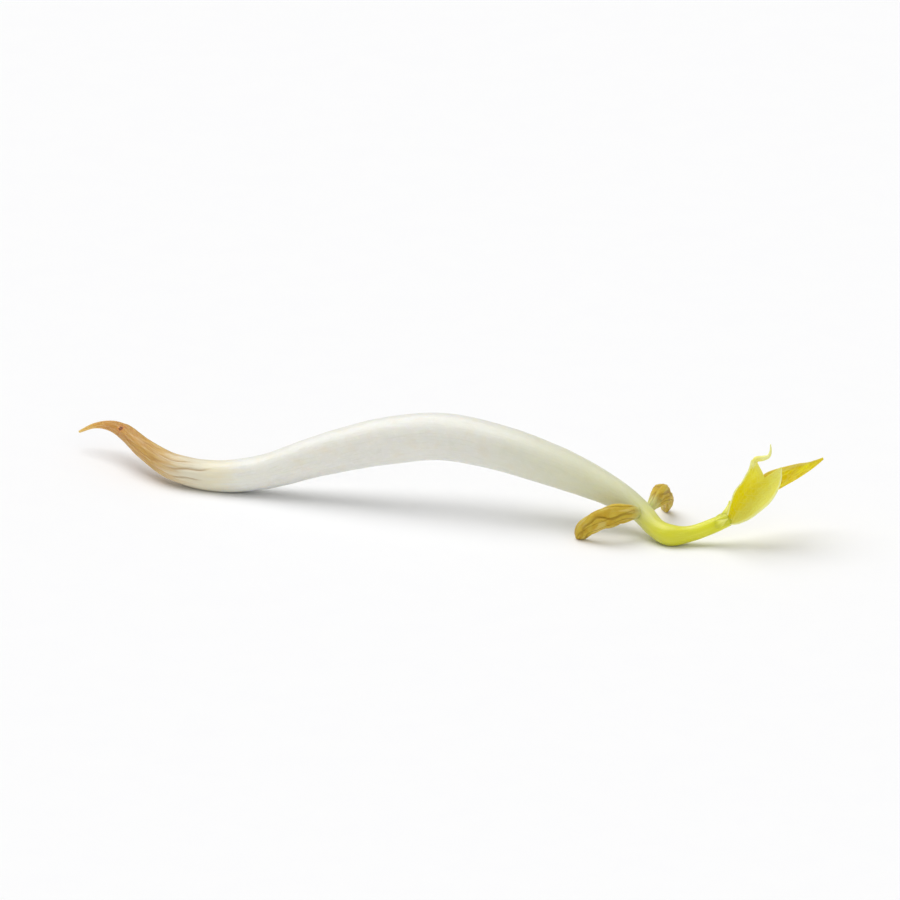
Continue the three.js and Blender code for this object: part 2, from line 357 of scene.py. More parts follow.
class StudioSettings(bpy.types.PropertyGroup):
    sky: bpy.props.FloatProperty(
        name="Room light",
        description="Strength of the even white light from all sides",
        min=0,
        default=0.4,
    )
    softbox: bpy.props.FloatProperty(
        name="Softbox",
        description="Strength of the large softbox over the table",
        min=0,
        default=2.02,
    )
    fill: bpy.props.FloatProperty(
        name="Front softbox",
        description="Strength of the softbox in front, as a share of the large one's",
        subtype="FACTOR",
        min=0,
        max=1,
        default=0.2,
    )
    elevation: bpy.props.FloatProperty(
        name="Camera elevation",
        description="How steeply the camera looks down",
        subtype="ANGLE",
        default=math.radians(20),
    )
    distance: bpy.props.FloatProperty(
        name="Camera distance",
        description="From the camera to the middle of the sprout",
        unit="LENGTH",
        min=0.1,
        default=1.5,
    )
    focal: bpy.props.FloatProperty(
        name="Focal length",
        description="Focal length of the camera, in millimetres",
        min=20,
        default=580,
    )


# ---- lines and skins -------------------------------------------------------------------


def curve_through(points, share):
    """Places on the smooth curve through points, for shares from 0 at its start to 1."""
    points = np.asarray(points, float)
    reach = np.vstack([2 * points[0] - points[1], points, 2 * points[-1] - points[-2]])
    last = len(points) - 1
    place = np.clip(share, 0, 1) * last
    first = np.minimum(place.astype(int), last - 1)
    t = (place - first)[:, None]
    before, start, end, after = (reach[first + step] for step in range(4))
    d_in, d, d_out = (
        np.sqrt(np.linalg.norm(b - a, axis=1, keepdims=True))
        for a, b in ((before, start), (start, end), (end, after))
    )
    leave = ((start - before) / d_in - (end - before) / (d_in + d)) * d + end - start
    arrive = ((after - end) / d_out - (after - start) / (d + d_out)) * d + end - start
    square = (3 * (end - start) - 2 * leave - arrive) * t**2
    return start + leave * t + square + (2 * (start - end) + leave + arrive) * t**3


def unit(vectors):
    return vectors / np.linalg.norm(vectors, axis=-1, keepdims=True)


def smooth_step(low, high, value):
    share = np.clip((value - low) / (high - low), 0, 1)
    return share * share * (3 - 2 * share)


def travelled(path):
    """How far along a path each of its points lies."""
    return np.append(0, np.cumsum(np.linalg.norm(np.diff(path, axis=0), axis=1)))


class Line:
    """Even stations along a smooth line, each with a radius and three directions."""

    def __init__(self, rows, spacing, facing):
        rows = np.array(rows, float)
        fine = np.linspace(0, 1, LINE_SAMPLES)
        gone = travelled(curve_through(rows, fine)[:, :3])
        self.along = np.linspace(0, gone[-1], round(gone[-1] / spacing) + 1)
        share = np.interp(self.along, gone, fine)
        self.row = share * (len(rows) - 1)
        self.share = self.along / gone[-1]
        found = curve_through(rows, share)
        self.at = found[:, :3]
        self.radius = found[:, 3]
        self.tangent = unit(np.gradient(self.at, axis=0))
        facing = np.asarray(facing, float)
        self.up = unit(facing - (self.tangent @ facing)[:, None] * self.tangent)
        self.side = np.cross(self.up, self.tangent)

    def picked(self, pick):
        """The same line with only the picked stations."""
        line = copy.copy(self)
        for name, values in vars(self).items():
            setattr(line, name, values[pick])
        return line

    def along_at(self, row):
        return float(np.interp(row, self.row, self.along))

    def rounded(self, first=False, last=True, bluntness=1.0):
        """The same line with a round end closing over its first or last station."""
        angle = np.linspace(0, CAP_ANGLE, CAP_RINGS + 1)[1:]
        line = self
        for wanted, end, sign in ((first, 0, -1), (last, -1, 1)):
            if not wanted:
                continue
            count = len(line.row)
            cap = line.picked(np.full(len(angle), end % count))
            ahead = sign * bluntness * cap.radius * np.sin(angle)
            cap.at = cap.at + cap.tangent * ahead[:, None]
            cap.along = cap.along + ahead
            cap.radius = cap.radius * np.cos(angle)
            if sign > 0:
                line = joined(line, cap)
            else:
                line = joined(cap.picked(slice(None, None, -1)), line)
        return line


def joined(first, second):
    line = copy.copy(first)
    for name, values in vars(second).items():
        setattr(line, name, np.concatenate([getattr(first, name), values]))
    return line


def wander(angle, along, around, lengthwise, seed):
    """Smooth noise over a round skin, from -1 to 1, that meets itself with no seam."""
    across, up = around * np.cos(angle), around * np.sin(angle)
    places = np.stack(np.broadcast_arrays(across, up, lengthwise * along + seed), axis=-1)
    values = [noise.noise(place) for place in places.reshape(-1, 3).tolist()]
    return np.array(values).reshape(places.shape[:-1])


def ridges(values, width):
    """1 where the values are 0, falling off softly to both sides."""
    return np.exp(-((values / width) ** 2))


class Rings:
    """Rings of points round a line, with each point's place on the straightened skin."""

    def __init__(self, line, sides, outline):
        angle = 2 * np.pi * np.arange(sides)[None, :] / sides
        across, up, self.marks = outline(angle, line)
        self.points = (
            line.at[:, None]
            + line.side[:, None] * across[..., None]
            + line.up[:, None] * up[..., None]
        )
        along = np.broadcast_to(line.along[:, None], across.shape)
        self.straight = np.stack([across, up, along], axis=-1)


def ring_faces(count, sides):
    """Faces of a closed skin over rings of points, capped at both ends round two more points."""
    row = np.arange(count - 1)[:, None] * sides
    j = np.arange(sides)[None, :]
    k = (j + 1) % sides
    corners = [row + j, row + k, row + k + sides, row + j + sides]
    quads = np.stack(corners, axis=-1).reshape(-1, 4)
    first = count * sides
    end = first - sides
    caps = []
    for a, b in zip(j[0].tolist(), k[0].tolist()):
        caps.append((first, b, a))
        caps.append((first + 1, end + a, end + b))
    return [tuple(quad) for quad in quads.tolist()] + caps


def with_middles(grid):
    """The points of a grid of rings, and then the middles of its first and last ring."""
    middles = [grid[0].mean(axis=0), grid[-1].mean(axis=0)]
    return np.vstack([grid.reshape(-1, grid.shape[-1]), *middles])


def new_piece(name, points, faces, marks):
    """A smooth mesh object, pressed flat on the table, with marks on its points."""
    points = points + LAID_AT
    points[:, 2] = np.maximum(points[:, 2], 0)
    mesh = bpy.data.meshes.new(name)
    mesh.from_pydata((points * MM).tolist(), [], faces)
    mesh.shade_smooth()
    for mark, values in marks.items():
        kind, key = ("FLOAT", "value") if values.ndim == 1 else ("FLOAT_VECTOR", "vector")
        attribute = mesh.attributes.new(mark, kind, "POINT")
        attribute.data.foreach_set(key, np.ascontiguousarray(values, np.float32).ravel())
    piece = bpy.data.objects.new(name, mesh)
    bpy.context.scene.collection.objects.link(piece)
    return piece


def sharpen_ends(piece, count, sides):
    """Keeps the flat ends of a skin from rounding its shading."""
    mesh = piece.data
    ends = np.zeros(len(mesh.vertices), bool)
    ends[:sides] = True
    ends[(count - 1) * sides : count * sides] = True
    edges = np.empty(len(mesh.edges) * 2, np.int32)
    mesh.edges.foreach_get("vertices", edges)
    sharp = ends[edges.reshape(-1, 2)].all(axis=1)
    attribute = mesh.attributes.new("sharp_edge", "BOOLEAN", "EDGE")
    attribute.data.foreach_set("value", sharp)


def skin_piece(name, rings, flat_ends=False):
    count, sides = rings.points.shape[:2]
    marks = {"straight": with_middles(rings.straight)}
    for mark, values in rings.marks.items():
        marks[mark] = with_middles(values[..., None])[:, 0]
    piece = new_piece(name, with_middles(rings.points), ring_faces(count, sides), marks)
    if flat_ends:
        sharpen_ends(piece, count, sides)
    return piece


def settle(piece, node, material):
    """Ties a finished piece to the frame: its body, the node that it stands for and its finish."""
    piece.data.materials.append(material)
    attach(piece, "root")
    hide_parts(node)


# ---- finishes --------------------------------------------------------------------------


class Value:
    """One output of a shader node. Python's operators on it add Math nodes."""

    def __init__(self, finish, socket):
        self.finish = finish
        self.socket = socket

    def __add__(self, other):
        return self.finish.maths("ADD", self, other)

    def __sub__(self, other):
        return self.finish.maths("SUBTRACT", self, other)

    def __rsub__(self, other):
        return self.finish.maths("SUBTRACT", other, self)

    def __mul__(self, other):
        return self.finish.maths("MULTIPLY", self, other)

    __radd__ = __add__
    __rmul__ = __mul__


class Finish:
    """A material that is built node by node."""

    def __init__(self, name):
        self.material = bpy.data.materials.new(name)
        self.material.use_nodes = True
        self.tree = self.material.node_tree
        self.tree.nodes.clear()

    def node(self, kind, settings=None, values=None, output=0):
        """Adds a node: first its settings, then the values or links of its sockets."""
        node = self.tree.nodes.new(kind)
        for name, value in (settings or {}).items():
            setattr(node, name, value)
        for name, value in (values or {}).items():
            if isinstance(value, Value):
                self.tree.links.new(value.socket, node.inputs[name])
            else:
                node.inputs[name].default_value = value
        return Value(self, node.outputs[output])

    def maths(self, operation, *terms):
        return self.node("ShaderNodeMath", {"operation": operation}, dict(enumerate(terms)))

    def mark(self, name):
        """A mark that the piece carries on its points, as a number."""
        return self.node("ShaderNodeAttribute", {"attribute_name": name}, output="Fac")

    def place(self, name):
        """A mark that the piece carries on its points, as a place."""
        return self.node("ShaderNodeAttribute", {"attribute_name": name}, output="Vector")

    def part_of(self, place, axis):
        return self.node("ShaderNodeSeparateXYZ", values={"Vector": place}, output=axis)

    def step(self, low, high, value):
        """0 below low and 1 above high, with a smooth change between. low may be above high."""
        settings = {"interpolation_type": "SMOOTHSTEP"}
        values = {"Value": value, "From Min": low, "From Max": high}
        return self.node("ShaderNodeMapRange", settings, values)

    def mix(self, factor, first, second):
        """A colour between two others. A string is one of the sprout's named colours."""
        colours = bpy.context.scene.sprout_colours
        first, second = (
            (*getattr(colours, tint), 1) if isinstance(tint, str) else tint
            for tint in (first, second)
        )
        values = {0: factor, 6: first, 7: second}
        return self.node("ShaderNodeMix", {"data_type": "RGBA"}, values, output=2)

    def clouds(self, place, scale, detail=3.0, roughness=0.6):
        """Soft noise. scale is how often it repeats: one number, or one in each direction."""
        if isinstance(scale, tuple):
            settings = {"operation": "MULTIPLY"}
            place = self.node("ShaderNodeVectorMath", settings, {0: place, 1: scale})
            scale = 1.0
        values = {"Vector": place, "Scale": scale, "Detail": detail, "Roughness": roughness}
        return self.node("ShaderNodeTexNoise", values=values, output="Fac")

    def bump(self, height, strength, distance):
        values = {"Strength": strength, "Distance": distance * MM, "Height": height}
        return self.node("ShaderNodeBump", values=values, output="Normal")

    def flesh(self, tint, roughness, normal, depth=0, spread=(1, 0.9, 0.7), wetness=0, shine=0.5):
        """Moist plant tissue. depth is how much of the light goes through it, at most 1."""
        values = {
            "Base Color": tint,
            "Roughness": roughness,
            "Normal": normal,
            "IOR": 1.4,
            "Specular IOR Level": shine,
            "Subsurface Weight": depth,
            "Subsurface Radius": spread,
            "Subsurface Scale": MM,
            "Coat Weight": wetness,
            "Coat Roughness": 0.18,
        }
        return self.node("ShaderNodeBsdfPrincipled", values=values)

    def blend(self, factor, first, second):
        return self.node("ShaderNodeMixShader", values={0: factor, 1: first, 2: second})

    def done(self, surface):
        output = self.tree.nodes.new("ShaderNodeOutputMaterial")
        self.tree.links.new(surface.socket, output.inputs["Surface"])
        return self.material


# ---- root, stem and neck: three stretches of one stalk ----------------------------------

STALK = Line([*ROOT_LINE, *STEM_LINE, *NECK_LINE], STALK_SPACING, UPWARD)
COLLAR = int(np.argmax(STALK.row >= COLLAR_ROW))
NODE = int(np.argmax(STALK.row >= NODE_ROW))


def round_from(angle, middle, radius):
    """How far round the skin each angle is from a middle one, in millimetres."""
    return np.angle(np.exp(1j * (angle - middle))) * radius


def stalk_outline(angle, line):
    """The stalk's section: grooved and furrowed along the root, softly swollen along the stem."""
    sizes = bpy.context.scene.sprout_sizes
    row, along, radius = (values[:, None] for values in (line.row, line.along, line.radius))
    root = 1 - smooth_step(COLLAR_ROW - 1.2, COLLAR_ROW + 1.4, row)
    stem = smooth_step(COLLAR_ROW - 0.5, COLLAR_ROW + 1, row)
    stem = stem * (1 - smooth_step(NODE_ROW - 0.8, NODE_ROW + 0.4, row))

    thinning = np.clip(1 - row / len(ROOT_LINE), 0, 1)
    grooves = GROOVE_DEPTH * thinning * np.cos(ROOT_GROOVES * angle)
    swelling = stem * (0.025 * np.cos(2 * angle + row) + 0.012 * np.cos(3 * angle))
    furrow = ridges(wander(angle, along, *FURROWS), 0.11)
    furrow = np.maximum(furrow, 0.7 * ridges(wander(angle, along, *FINE_FURROWS), 0.1)) * root
    dents = wander(angle, along, *DENTS) + 0.4 * wander(angle, along, *FINE_DENTS)

    split = np.zeros_like(furrow)
    for start, end, first, last, width in SPLITS:
        share = smooth_step(start, end, row)
        middle = np.radians(first + (last - first) * share + 3 * np.sin(9 * row))
        open_share = np.clip(6 * share * (1 - share), 0, 1)
        split = np.maximum(split, ridges(round_from(angle, middle, radius), width) * open_share)
    scar = ridges(round_from(angle, SCAR_ANGLE, radius), SCAR_WIDTH)
    scar = scar * ridges(along - STALK.along_at(SCAR_ROW), SCAR_LENGTH)

    fade = np.clip(radius, 0, 1)  # the thin tail is too small for deep relief
    relief = sizes.dent_depth / MM * dents * (0.4 + 0.6 * stem)
    relief = relief - sizes.furrow_depth / MM * furrow * fade
    relief = relief - sizes.split_depth / MM * split - SCAR_DEPTH * scar * fade
    reach = radius * (1 + grooves + swelling) + relief * fade
    marks = {"furrow": furrow, "split": split, "scar": scar}
    return reach * np.cos(angle), reach * np.sin(angle), marks


def stalk_finish(name):
    """One skin for the whole stalk: tan root, white stem and green neck, by the place along it."""
    finish = Finish(name)
    straight = finish.place("straight")
    along = finish.part_of(straight, "Z")
    furrow, split, scar = (finish.mark(mark) for mark in ("furrow", "split", "scar"))

    streaks = finish.clouds(straight, STREAKS, 4.0)
    fibres = finish.clouds(straight, FIBRES)
    blotches = finish.clouds(straight, 0.55, roughness=0.55)
    dimples = finish.clouds(straight, DIMPLES)
    cells = finish.clouds(straight, 9.0, 2.0)

    def between(rows, place=along):
        return finish.step(*(STALK.along_at(row) for row in rows), place)

    root = finish.mix(between(TAIL_TO_ROOT), "root_tip", "root_tan")
    # Painted shade darkens the furrows; the streaks are the root's own colour.
    root = finish.mix(finish.step(0.52, 0.74, streaks) * 0.45 + furrow * 0.35, root, "root_streak_and_shade")
    root = finish.mix(finish.step(0.5, 0.25, streaks) * 0.4, root, "root_pale")

    stem = finish.mix(finish.step(0.5, 0.85, fibres) * 0.6, "stem_white", "stem_fibres_and_painted_shade")
    stem = finish.mix(finish.step(0.52, 0.8, blotches) * 0.35, stem, "stem_fibres_and_painted_shade")
    stem = finish.mix(finish.step(0.48, 0.25, blotches) * 0.3, stem, "stem_warm")
    # Painted glints: faint white flecks stand in for highlights on the dimpled skin.
    stem = finish.mix(finish.step(0.48, 0.74, dimples) * 0.2, stem, "stem_painted_glint")
    # Painted shade: the stem turns duller and warmer over these rows.
    stem = finish.mix(between(WHITE_TO_PAINTED_SHADE) * 0.35, stem, "stem_fibres_and_painted_shade")
    stem = finish.mix(between(WHITE_TO_GREEN) * 0.45, stem, "node_green")

    neck = finish.mix(between(NODE_TO_KINK), "node_green", "neck_green")
    neck = finish.mix(between(KINK_TO_END), neck, "neck_gold")
    neck = finish.mix(finish.step(0.5, 0.75, fibres) * 0.4, neck, "neck_fibre")

    ragged = along + (streaks - 0.5) * 7.0
    tint = finish.mix(between(ROOT_TO_COLLAR, ragged), root, "collar_cream")
    tint = finish.mix(between(COLLAR_TO_STEM, ragged), tint, stem)
    frayed = along + (fibres - 0.5) * 3.0
    tint = finish.mix(between(STEM_TO_NECK, frayed), tint, neck)
    # Painted shade darkens the splits in the collar.
    tint = finish.mix(split * 0.55, tint, "root_streak_and_shade")
    tint = finish.mix(finish.step(0.05, 0.5, scar) * 0.6, tint, "scar_halo")
    tint = finish.mix(finish.step(0.45, 0.85, scar), tint, "scar")

    normal = finish.bump(cells * 0.2 + fibres * 0.5 + dimples * 0.4, 0.7, 0.12)
    roughness = 0.32 + 0.22 * between(WET_TO_DRY) + (cells - 0.5) * 0.12
    deep = finish.flesh(tint, roughness, normal, depth=1, spread=(2.2, 2.0, 1.5), wetness=0.3)
    plain = finish.flesh(tint, roughness, normal, wetness=0.3)
    apart = [finish.maths("ABSOLUTE", along - float(STALK.along[seam])) for seam in (COLLAR, NODE)]
    first_seam, second_seam = (finish.step(SEAM_FAR, SEAM_NEAR, distance) for distance in apart)
    return finish.done(finish.blend(first_seam + second_seam, deep, plain))


def stalk_piece(name, line, node, slot):
    rings = Rings(line, STALK_SIDES, stalk_outline)
    settle(skin_piece(name, rings, flat_ends=True), node, stalk_finish(slot))


# ---- bud and stipules -------------------------------------------------------------------


def bud_outline(angle, line):
    """Small young leaves folded together: five soft lobes, with a slight twist."""
    lobes = np.cos(5 * angle + 2 * line.share[:, None])
    hairs = wander(angle, line.along[:, None], *BUD_HAIRS)
    reach = line.radius[:, None] * (1 + 0.12 * lobes + 0.03 * hairs)
    return reach * np.cos(angle), reach * np.sin(angle), {"furrow": np.clip(-lobes, 0, 1)}


def stipule_outline(angle, line):
    """A small scale: flat, with a rib along its middle."""
    radius = line.radius[:, None]
    across, up = np.cos(angle), np.sin(angle)
    crest = 1 + 0.35 * ridges(across, 0.25)
    veins = np.cos(STIPULE_VEINS * across)
    height = radius * (0.42 * up * crest + 0.02 * veins * np.sign(up))
    furrow = np.broadcast_to(0.5 - 0.5 * veins, height.shape)
    return radius * across, height, {"furrow": furrow}


def shoot_finish():
    """The bud and the stipules: yellow-green, paler towards their tips."""
    finish = Finish("shoot_tip")
    straight = finish.place("straight")
    along = finish.part_of(straight, "Z")
    fibres = finish.clouds(straight, SHOOT_FIBRES)
    tint = finish.mix(finish.step(0.3, 1.4, along), "neck_gold", "leaf_lime")
    # Painted shade: darker green in the grooves between the bud's lobes and the stipules' ribs.
    tint = finish.mix(finish.mark("furrow") * 0.4, tint, "neck_green")
    tint = finish.mix(finish.step(0.45, 0.8, fibres) * 0.4, tint, "leaf_rim")
    normal = finish.bump(fibres, 0.4, 0.04)
    roughness = 0.42 + (fibres - 0.5) * 0.15
    return finish.done(finish.flesh(tint, roughness, normal, depth=0.5, spread=(0.5, 0.5, 0.2)))


# ---- leaves -----------------------------------------------------------------------------


class Blade:
    """One half of a folded leaf: the middle of its flesh, and what lies on it."""

    def __init__(self, half, other, hand):
        fold, margin = half
        share = np.linspace(0, 1, BLADE_ROWS)
        inner, outer, opposite = (curve_through(line, share) for line in (fold, margin, other[1]))
        across = outer - inner
        along = np.gradient(inner, axis=0) + np.gradient(outer, axis=0)
        normal = unit(np.cross(along, across))
        inward = np.sign(np.sum(normal * (opposite - inner), axis=1, keepdims=True))
        breadth = np.linalg.norm(across, axis=1, keepdims=True)
        out = np.linspace(0, 1, BLADE_COLUMNS)[None, :]
        length = travelled(inner)[:, None]
        wave = np.sin(2 * np.pi * length / RIPPLE_LENGTH + 1.7 * hand)
        wave = RIPPLE_HEIGHT * out**2 * wave * np.sin(np.pi * share)[:, None]
        lift = -inward * LEAF_CUP * breadth * np.sin(np.pi * out) + wave
        self.middle = (
            inner[:, None] + across[:, None] * out[..., None] + normal[:, None] * lift[..., None]
        )
        self.normal = np.broadcast_to((normal * inward)[:, None], self.middle.shape)
        self.out = np.broadcast_to(out, lift.shape)
        self.share = np.broadcast_to(share[:, None], lift.shape)
        self.length = np.broadcast_to(length, lift.shape)
        self.breadth = out * breadth
        self.hand = np.full(lift.shape, float(hand))

    def slab(self):
        """A closed skin round the blade, thinner towards its margin and its tip."""
        sizes = bpy.context.scene.sprout_sizes
        thick, thin = sizes.blade_thickness / MM, sizes.margin_thickness / MM
        thickness = thick + (thin - thick) * self.out**0.7
        thickness = thickness * (1 - 0.35 * self.share**3) * np.sqrt(1 - 0.8 * self.out**24)
        offset = self.normal * thickness[..., None] / 2
        corner, next_row, next_column = self.middle[0, 0], self.middle[1, 0], self.middle[0, 1]
        side = np.sign(self.normal[0, 0] @ np.cross(next_row - corner, next_column - corner))
        upper, lower = self.middle + side * offset, self.middle - side * offset
        grid = np.concatenate([lower, upper[:, ::-1]], axis=1)
        return with_middles(grid), ring_faces(*grid.shape[:2])


def round_outline(angle, line):
    radius = line.radius[:, None]
    return radius * np.cos(angle), radius * np.sin(angle), {}


def rib(fold):
    """The rows of a rib along a leaf's fold, thinner towards the tip."""
    return [[*row, RIB_RADIUS - RIB_TAPER * count] for count, row in enumerate(fold)]


def twig(rows):
    """A closed round skin along a thin line, with round ends."""
    line = Line(rows, TWIG_SPACING, FORWARD).rounded(first=True)
    grid = Rings(line, TWIG_SIDES, round_outline).points
    return with_middles(grid), ring_faces(*grid.shape[:2])


def fused(skins):
    """Points and faces of one closed skin round several that run into each other."""
    mesh = bpy.data.meshes.new("fused")
    points, faces, shift = [], [], 0
    for skin_points, skin_faces in skins:
        points.append(skin_points)
        faces += [tuple(corner + shift for corner in face) for face in skin_faces]
        shift += len(skin_points)
    mesh.from_pydata(np.vstack(points).tolist(), [], faces)
    holder = bpy.data.objects.new("fused", mesh)
    bpy.context.scene.collection.objects.link(holder)
    remesh = holder.modifiers.new("fuse", "REMESH")
    remesh.mode = "VOXEL"
    remesh.voxel_size = LEAF_GRAIN
    depsgraph = bpy.context.evaluated_depsgraph_get()
    whole = bpy.data.meshes.new_from_object(holder.evaluated_get(depsgraph))
    bpy.data.objects.remove(holder)
    bpy.data.meshes.remove(mesh)
    return whole


def read(collection, key, width, kind):
    """One property of every item of a mesh's collection, as rows of that width."""
    per_item = 1 if key == "vertex_index" else width
    values = np.empty(len(collection) * per_item, kind)
    collection.foreach_get(key, values)
    return values.reshape(-1, width)


def evened(points, edges, rounds=5):
    """Points moved towards their neighbours' middle, to take the steps off a fused skin."""
    count = np.zeros(len(points))
    np.add.at(count, edges.ravel(), 1)
    for _ in range(rounds):
        total = np.zeros_like(points)
        np.add.at(total, edges[:, 0], points[edges[:, 1]])
        np.add.at(total, edges[:, 1], points[edges[:, 0]])
        points = (points + total / count[:, None]) / 2
    return points


def point_normals(points, quads):
    """The direction out of a skin of four-sided faces at each of its points."""
    corners = points[quads]
    face = np.cross(corners[:, 2] - corners[:, 0], corners[:, 3] - corners[:, 1])
    normals = np.zeros_like(points)
    for corner in range(4):
        np.add.at(normals, quads[:, corner], face)
    return unit(normals)


def vein_pattern(length, breadth, out, share):
    """Midrib, side veins and the net between them, 1 on a vein, from the place on the blade."""
    slant = (length - VEIN_SLANT * breadth - VEIN_BEND * breadth**2) / VEIN_SPACING
    distance = np.abs(slant - np.round(slant)) * VEIN_SPACING
    side = ridges(distance, VEIN_WIDTH) * (1 - 0.6 * out)
    midrib = ridges(breadth, MIDRIB_WIDTH) * (1 - 0.5 * share)
    margin = smooth_step(0.9, 0.98, out) * 0.6
    cells = np.stack([length, breadth, np.zeros_like(length)], axis=1) / NET_CELL
    near = np.array([noise.voronoi(place)[0][:2] for place in cells.tolist()])
    net = 0.5 * ridges(near[:, 1] - near[:, 0], NET_WIDTH)
    return np.maximum.reduce([midrib, side, net, margin])


def leaf_piece(name, halves, twigs, node, finish):
    """A folded leaf: two halves, a rib along the fold, its stalk and its tail in one skin."""
    sizes = bpy.context.scene.sprout_sizes
    blades = [Blade(halves[0], halves[1], -1), Blade(halves[1], halves[0], 1)]
    whole = fused([blade.slab() for blade in blades] + [twig(rows) for rows in twigs])
    points = read(whole.vertices, "co", 3, np.float32).astype(float)
    edges = read(whole.edges, "vertices", 2, np.int32)
    quads = read(whole.loops, "vertex_index", 4, np.int32)
    bpy.data.meshes.remove(whole)
    points = evened(points, edges)
    normals = point_normals(points, quads)

    on_blade = {
        key: np.concatenate([getattr(blade, key).reshape(-1) for blade in blades])
        for key in ("out", "share", "length", "breadth", "hand")
    }
    middle = np.concatenate([blade.middle.reshape(-1, 3) for blade in blades])
    facing = np.concatenate([blade.normal.reshape(-1, 3) for blade in blades])
    tree = KDTree(len(middle))
    for index, place in enumerate(middle.tolist()):
        tree.insert(place, index)
    tree.balance()
    found = [tree.find_n(place, 4) for place in points.tolist()]
    nearest = np.array([[hit[1] for hit in hits] for hits in found])
    gaps = np.array([[hit[2] for hit in hits] for hits in found])
    weights = 1 / (gaps + 0.01)
    weights /= weights.sum(axis=1, keepdims=True)
    lies = {key: (values[nearest] * weights).sum(axis=1) for key, values in on_blade.items()}
    inner = np.sum(normals * facing[nearest[:, 0]], axis=1)

    bare = smooth_step(0.7, 0.2, gaps[:, 0])
    vein = vein_pattern(lies["length"], lies["breadth"], lies["out"], lies["share"]) * bare
    relief = -smooth_step(-0.4, 0.4, inner) * 1.4 + 0.7
    points = points + normals * (sizes.vein_height / MM * vein * relief)[:, None]

    blade_place = np.stack([lies["length"], lies["breadth"], lies["out"] * lies["hand"]], axis=1)
    marks = {
        "blade": blade_place,
        "vein": vein,
        "bare": 1 - bare,
        "share": lies["share"],
        "straight": points,
    }
    piece = new_piece(name, points, [tuple(quad) for quad in quads.tolist()], marks)
    settle(piece, node, finish)


def leaf_finish(name, lime, deep, rust):
    """A young leaf, pale at its veins, rim and tail, with shares of lime, deep and rust tints."""
    finish = Finish(name)
    straight = finish.place("straight")
    blade = finish.place("blade")
    out = finish.part_of(blade, "Z")  # below 0 on the first half of the leaf
    away = finish.maths("ABSOLUTE", out)
    vein, bare, share = (finish.mark(mark) for mark in ("vein", "bare", "share"))
    clouds = finish.clouds(straight, 1.1, roughness=0.55)
    grain = finish.clouds(straight, 7.0)
    streaks = finish.clouds(blade, BLADE_STREAKS)

    outer = finish.step(0.05, 0.7, out + (clouds - 0.5) * 0.6)
    upper = finish.step(0.3, 1.0, share + (clouds - 0.5) * 0.5)
    tint = finish.mix(outer * 0.9 * lime, "leaf_gold", "leaf_lime")
    tint = finish.mix(upper * 0.5 * lime, tint, "leaf_lime")
    tint = finish.mix(finish.step(0.8, 1.0, share) * 0.5 * lime, tint, "leaf_rim")
    base = finish.step(0.55, 0.0, share + (clouds - 0.5) * 0.5)
    tint = finish.mix(base * 0.15, tint, "leaf_deep")
    tint = finish.mix(finish.step(0.3, 0.6, streaks) * deep, tint, "leaf_deep")
    tint = finish.mix(finish.step(0.45, 0.8, grain) * 0.4, tint, "leaf_deep")
    tint = finish.mix(vein * 0.22, tint, "leaf_rim")
    tint = finish.mix(finish.step(0.84, 0.96, away) * (0.9 - rust), tint, "leaf_rim")
    tired = finish.step(0.84, 0.98, away + (clouds - 0.5) * 0.12) * rust
    tint = finish.mix(tired, tint, "leaf_rust")
    stalk = finish.mix(finish.step(0.2, 0.6, share), "neck_gold", "leaf_rim")
    tint = finish.mix(bare * 0.85, tint, stalk)

    normal = finish.bump(grain * 0.5 + vein * 0.5, 0.5, 0.04)
    roughness = 0.44 + (grain - 0.5) * 0.2
    body = finish.flesh(tint, roughness, normal, depth=0.4, spread=(0.4, 0.4, 0.1), shine=0.15)
    return finish.done(body)


# ---- seed halves ------------------------------------------------------------------------


def seed_outline(seed):
    """A shrunken half bean: round on its back, flatter inside, with wrinkles from one seed."""

    def outline(angle, line):
        sizes = bpy.context.scene.sprout_sizes
        columns = (line.share, line.along, line.radius)
        share, along, radius = (values[:, None] for values in columns)
        ripple = np.cos(4 * angle + 5 * share) + 0.5 * np.cos(26 * share + angle)
        swell = 1 + 0.07 * ripple * np.sin(np.pi * share)
        depth = 0.575 + 0.275 * np.tanh(3 * np.sin(angle))

        creases = ridges(wander(angle, along, *SEED_CREASES, seed), 0.08)
        pleats = wander(angle, along, *SEED_PLEATS, seed + 60)
        nubs = wander(angle, along, *SEED_NUBS, seed + 90)
        wobble = np.pi / 2 + 0.3 * np.sin(1.3 * along + seed) + 0.12 * np.sin(3.1 * along)
        groove = ridges((angle - wobble) * radius, SEED_GROOVE) * np.sin(np.pi * share) ** 0.5
        body = np.sin(np.pi * np.clip(share, 0.02, 0.98)) ** 0.6
        relief = pleats * 0.5 + nubs * 0.45 - creases * 0.6 - groove * 1.3
        reach = swell * radius + sizes.wrinkle_depth / MM * relief * body
        marks = {"crease": np.clip(np.maximum(creases, groove), 0, 1), "pleat": pleats + 0.5}
        return reach * np.cos(angle), reach * depth * np.sin(angle), marks

    return outline


